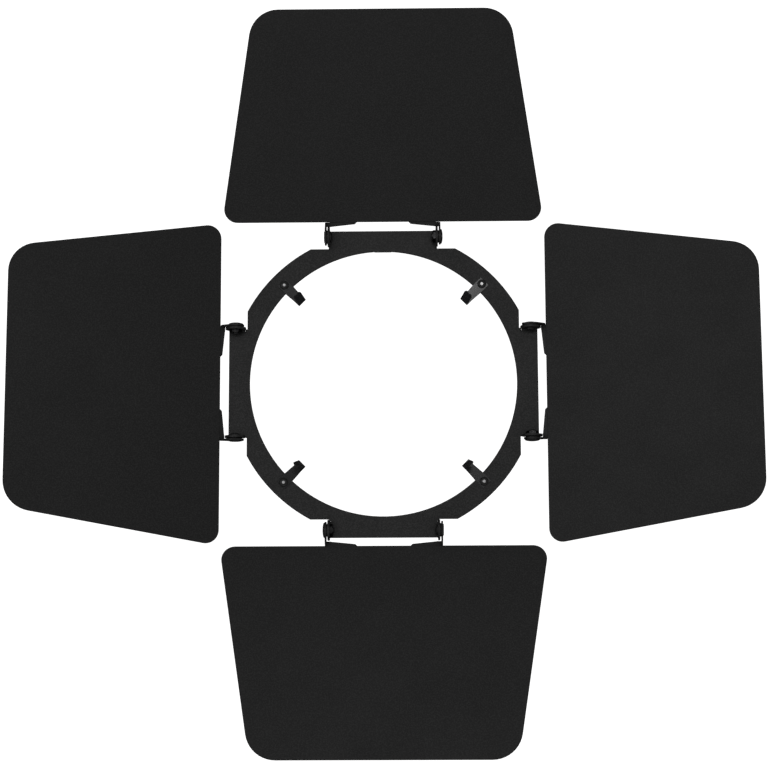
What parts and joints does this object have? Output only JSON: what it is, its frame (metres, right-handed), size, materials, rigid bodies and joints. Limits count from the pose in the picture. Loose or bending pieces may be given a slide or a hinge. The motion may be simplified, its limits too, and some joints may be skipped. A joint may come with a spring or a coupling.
{
  "type": "barn door attachment",
  "caption": "Black steel barn door for a round stage lamp: a ring plate with spring clips and trapezoid leaves on friction hinges.",
  "frame": {"origin": "centre of the light aperture, on the ring plate's back face", "axes": "+Z is the beam axis, towards the side the leaves close over; +Y points to the top leaf and +X to the right leaf, seen from the +Z side"},
  "size_m": [0.5171, 0.5154, 0.0587],
  "materials": {
    "ring_coat": "black textured powder coat, matt",
    "leaf_coat": "black textured powder coat, matt",
    "bracket_coat": "black textured powder coat, matt",
    "dark_steel": "black oxide, satin",
    "zinc": "black zinc plated, satin",
    "spring_steel": "blackened spring steel, semi-gloss",
    "rivet_coat": "black lacquer, semi-gloss",
    "bright_steel": "bare steel, broken end"
  },
  "bodies": {
    "frame": {"ring_plate": "ring_coat", "friction_screw_top": "dark_steel", "friction_screw_right": "dark_steel", "friction_screw_bottom": "dark_steel", "friction_screw_left": "dark_steel", "lock_nut_top": "zinc", "lock_nut_right": "zinc", "lock_nut_bottom": "zinc", "lock_nut_left": "zinc", "spring_washer_top": "dark_steel", "spring_washer_right": "dark_steel", "spring_washer_bottom": "dark_steel", "spring_washer_left": "dark_steel", "pivot_rivet_top": "dark_steel", "pivot_rivet_right": "dark_steel", "pivot_rivet_bottom": "dark_steel", "pivot_rivet_left": "dark_steel", "flat_washer_top": "zinc", "flat_washer_right": "zinc", "flat_washer_bottom": "zinc", "flat_washer_left": "zinc", "spring_clip_top_right": "spring_steel", "spring_clip_bottom_right": "spring_steel", "spring_clip_bottom_left": "spring_steel", "spring_clip_top_left": "spring_steel", "clip_rivet_top_right": "rivet_coat", "clip_rivet_bottom_right": "rivet_coat", "clip_rivet_bottom_left": "rivet_coat", "clip_rivet_top_left": "rivet_coat", "rivet_mandrel_top_right": "bright_steel", "rivet_mandrel_bottom_right": "bright_steel", "rivet_mandrel_bottom_left": "bright_steel", "rivet_mandrel_top_left": "bright_steel"},
    "top_leaf": {"leaf_top": "leaf_coat", "hinge_bracket_top": "bracket_coat"},
    "right_leaf": {"leaf_right": "leaf_coat", "hinge_bracket_right": "bracket_coat"},
    "bottom_leaf": {"leaf_bottom": "leaf_coat", "hinge_bracket_bottom": "bracket_coat"},
    "left_leaf": {"leaf_left": "leaf_coat", "hinge_bracket_left": "bracket_coat"}
  },
  "joints": [
    {"name": "top_leaf_hinge", "type": "hinge", "parent": "frame", "child": "top_leaf", "pos_m": [0, 0.1048, 0.006], "axis": [1, 0, 0], "range_deg": [-80, 100]},
    {"name": "right_leaf_hinge", "type": "hinge", "parent": "frame", "child": "right_leaf", "pos_m": [0.1048, 0, 0.006], "axis": [0, -1, 0], "range_deg": [-45, 55]},
    {"name": "bottom_leaf_hinge", "type": "hinge", "parent": "frame", "child": "bottom_leaf", "pos_m": [0, -0.1048, 0.006], "axis": [-1, 0, 0], "range_deg": [-77, 103]},
    {"name": "left_leaf_hinge", "type": "hinge", "parent": "frame", "child": "left_leaf", "pos_m": [-0.1048, 0, 0.006], "axis": [0, 1, 0], "range_deg": [-49.5, 50.5]}
  ]
}
